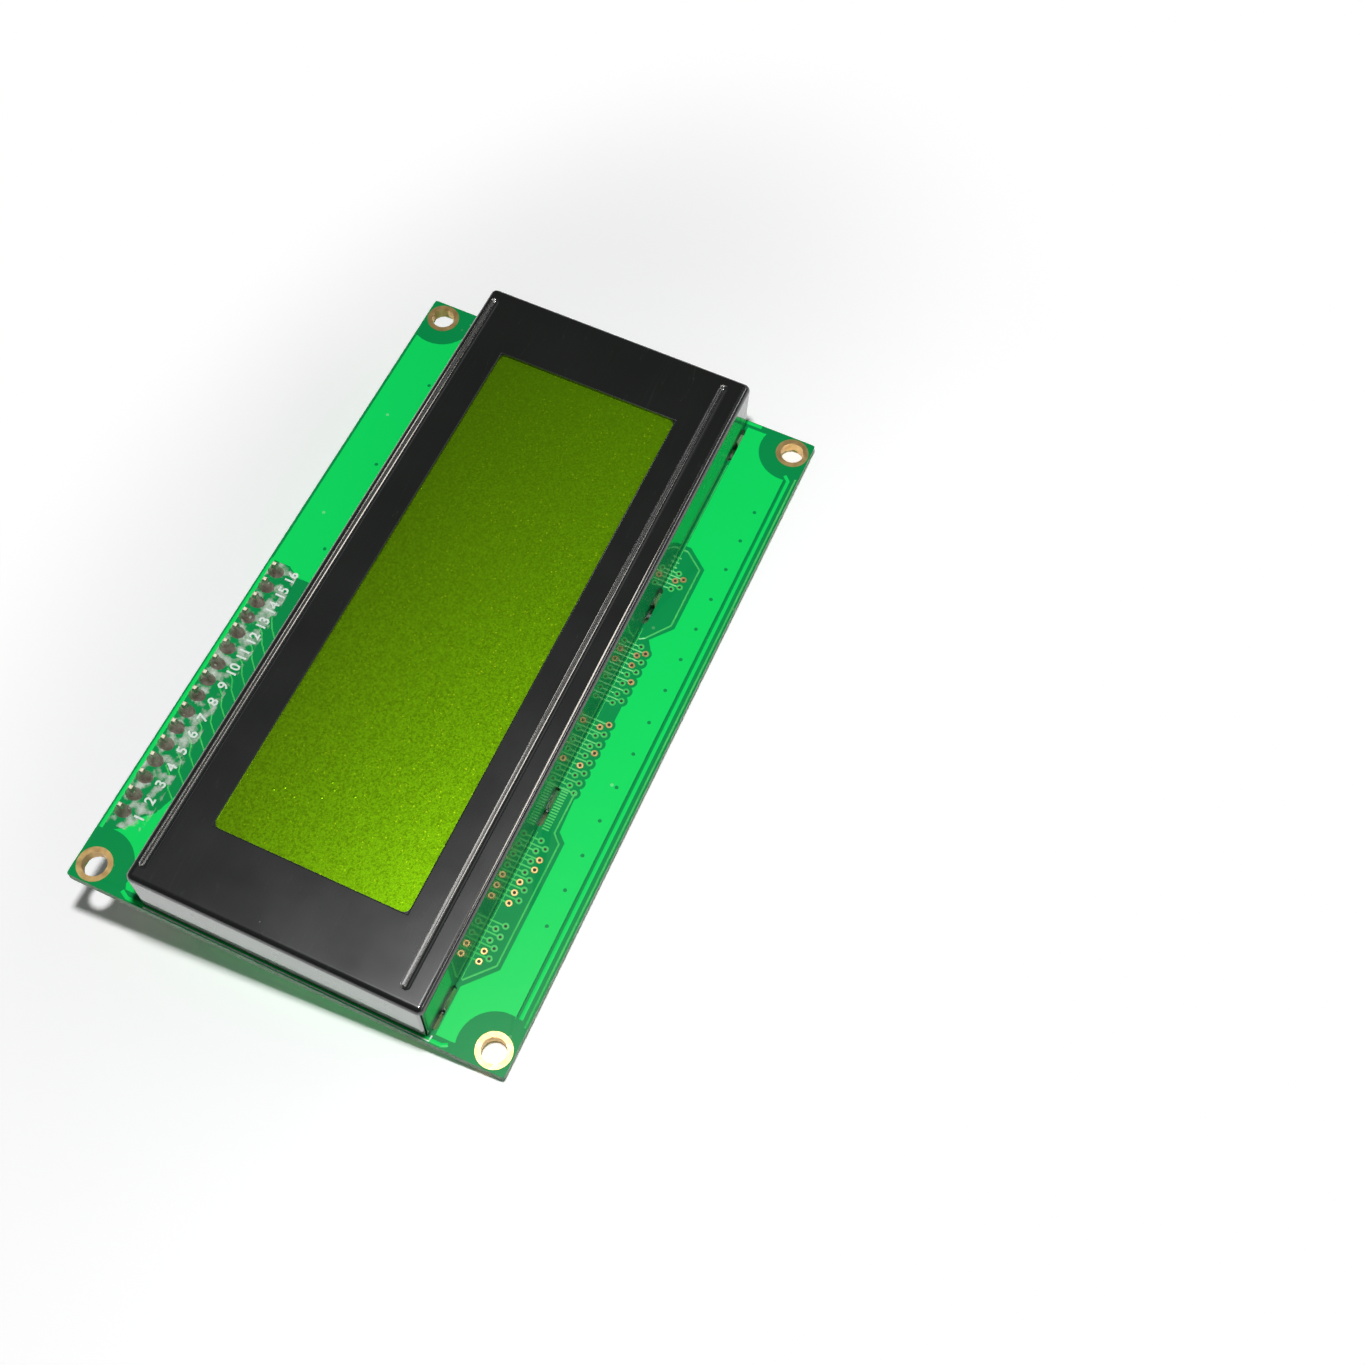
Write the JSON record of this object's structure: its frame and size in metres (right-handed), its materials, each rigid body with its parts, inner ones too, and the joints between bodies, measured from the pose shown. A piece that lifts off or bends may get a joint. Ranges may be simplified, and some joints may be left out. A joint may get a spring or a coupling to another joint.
{
  "type": "character lcd module",
  "caption": "Character display with a black steel bezel and a yellow-green window on a green board, a pin header, and a small serial adapter board with trimmer and jumper behind.",
  "frame": {"origin": "centre of the four mounting holes, at the back face of the main board", "axes": "+X along the lines of characters, +Y to the long edge with the pin header, +Z out of the display face"},
  "size_m": [0.098, 0.06, 0.0202],
  "materials": {
    "green_board": "green solder mask over copper, glossy",
    "gold": "gold plated copper",
    "black_steel": "black enamelled sheet steel, satin",
    "polariser": "yellow-green polarising film, fine matt grain",
    "glass": "clear polished",
    "contact_rubber": "pink silicone with carbon layers",
    "white_board": "white reflecting board",
    "light_guide": "milky diffuser",
    "tinned_metal": "tinned",
    "solder": "grey solder",
    "resin": "black epoxy, satin",
    "resistor": "black glazed film with tinned ends",
    "capacitor": "brown ceramic with tinned ends",
    "lamp_lens": "milky lens",
    "black_plastic": "black moulded plastic",
    "black_board": "black solder mask, glossy",
    "trimmer_blue": "blue moulded plastic",
    "rotor": "dull bronze coloured",
    "contact_brass": "bright"
  },
  "bodies": {
    "module": {"lcd_board": "green_board", "hole_plating": "gold", "tab_pads": "gold", "bare_pads": "gold", "bezel": "black_steel", "front_film": "polariser", "rear_film": "polariser", "front_glass": "glass", "rear_glass": "glass", "contact_strip_upper": "contact_rubber", "contact_strip_lower": "contact_rubber", "backlight_board": "white_board", "light_guide": "light_guide", "backlight_leads": "tinned_metal", "header_pins": "tinned_metal", "trimmer_legs": "tinned_metal", "expander_leads": "tinned_metal", "signal_pins": "tinned_metal", "link_pins": "tinned_metal", "transistor_leads": "tinned_metal", "backlight_solder": "solder", "board_solder": "solder", "adapter_solder": "solder", "header_solder_front": "solder", "header_solder_back": "solder", "leg_solder": "solder", "address_pads": "solder", "resin_drop_1": "resin", "resin_drop_2": "resin", "resin_drop_3": "resin", "resin_drop_4": "resin", "resin_drop_5": "resin", "ladder_resistor_1": "resistor", "ladder_resistor_2": "resistor", "ladder_resistor_3": "resistor", "ladder_resistor_4": "resistor", "ladder_resistor_5": "resistor", "clock_resistor": "resistor", "lamp_resistor_1": "resistor", "lamp_resistor_2": "resistor", "adapter_resistor_1": "resistor", "adapter_resistor_2": "resistor", "adapter_resistor_3": "resistor", "adapter_resistor_4": "resistor", "adapter_resistor_5": "resistor", "adapter_resistor_6": "resistor", "adapter_resistor_7": "resistor", "decoupling_capacitor": "capacitor", "power_lamp": "lamp_lens", "header_strip": "black_plastic", "signal_strip": "black_plastic", "link_strip": "black_plastic", "expander_body": "black_plastic", "transistor_body": "black_plastic", "adapter_board": "black_board", "trimmer_body": "trimmer_blue"},
    "trimmer_rotor": {"trimmer_rotor": "rotor"},
    "jumper": {"jumper_cap": "black_plastic", "jumper_contact": "contact_brass"}
  },
  "joints": [
    {"name": "trimmer_turn", "type": "hinge", "parent": "module", "child": "trimmer_rotor", "pos_m": [-0.0313, 0.0217, -0.00884], "axis": [0, 0, -1], "range_deg": [-130, 130]},
    {"name": "jumper_pull", "type": "slide", "parent": "module", "child": "jumper", "axis": [1, 0, 0], "range_m": [0, 0.0062]}
  ]
}
